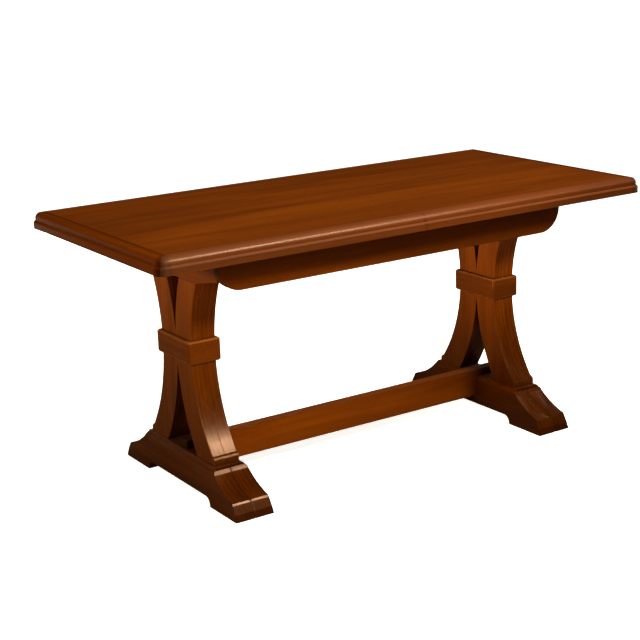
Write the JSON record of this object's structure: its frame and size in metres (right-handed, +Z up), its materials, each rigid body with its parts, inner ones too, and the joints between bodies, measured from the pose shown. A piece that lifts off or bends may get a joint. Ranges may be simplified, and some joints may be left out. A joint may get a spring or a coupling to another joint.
{
  "type": "extending trestle table",
  "caption": "Extending trestle table in stained wood: half tops slide apart over an apron box on curved, collared legs with sled feet, a low stretcher and a stored leaf.",
  "frame": {"origin": "on the floor under the middle of the table", "axes": "+X along the table to the right, +Y from front to back, +Z up"},
  "size_m": [1.65, 0.8, 0.78],
  "materials": {
    "top_walnut": "satin gloss lacquer over reddish walnut stain, grain along the boards",
    "frame_walnut": "satin gloss lacquer over reddish walnut stain, darker in the grooves",
    "runner_beech": "bare waxed beech"
  },
  "bodies": {
    "frame": {"back_apron": "frame_walnut", "bearer_tenons": "runner_beech", "foot_tenons": "runner_beech", "front_apron": "frame_walnut", "leaf_back_edging": "top_walnut", "leaf_front_edging": "top_walnut", "leaf_panel": "top_walnut", "leaf_pins": "runner_beech", "left_back_corner_block": "runner_beech", "left_back_guide_rail": "runner_beech", "left_back_leg_inner": "frame_walnut", "left_back_leg_outer": "frame_walnut", "left_bearer": "frame_walnut", "left_collar_back": "frame_walnut", "left_collar_front": "frame_walnut", "left_collar_inner": "frame_walnut", "left_collar_outer": "frame_walnut", "left_foot_inner": "frame_walnut", "left_foot_outer": "frame_walnut", "left_front_corner_block": "runner_beech", "left_front_guide_rail": "runner_beech", "left_front_leg_inner": "frame_walnut", "left_front_leg_outer": "frame_walnut", "left_leaf_rest": "runner_beech", "right_back_corner_block": "runner_beech", "right_back_guide_rail": "runner_beech", "right_back_leg_inner": "frame_walnut", "right_back_leg_outer": "frame_walnut", "right_bearer": "frame_walnut", "right_collar_back": "frame_walnut", "right_collar_front": "frame_walnut", "right_collar_inner": "frame_walnut", "right_collar_outer": "frame_walnut", "right_foot_inner": "frame_walnut", "right_foot_outer": "frame_walnut", "right_front_corner_block": "runner_beech", "right_front_guide_rail": "runner_beech", "right_front_leg_inner": "frame_walnut", "right_front_leg_outer": "frame_walnut", "right_leaf_rest": "runner_beech", "stretcher": "frame_walnut", "stretcher_pegs": "frame_walnut"},
    "left_half_top": {"left_back_runner": "runner_beech", "left_front_runner": "runner_beech", "left_top_back_edging": "top_walnut", "left_top_end_edging": "top_walnut", "left_top_front_edging": "top_walnut", "left_top_panel": "top_walnut"},
    "right_half_top": {"right_back_runner": "runner_beech", "right_front_runner": "runner_beech", "right_top_back_edging": "top_walnut", "right_top_end_edging": "top_walnut", "right_top_front_edging": "top_walnut", "right_top_panel": "top_walnut", "top_pins": "runner_beech"}
  },
  "joints": [
    {"name": "left_half_slide", "type": "slide", "parent": "frame", "child": "left_half_top", "axis": [-1, 0, 0], "range_m": [0, 0.225]},
    {"name": "right_half_slide", "type": "slide", "parent": "frame", "child": "right_half_top", "axis": [1, 0, 0], "range_m": [0, 0.225]}
  ]
}
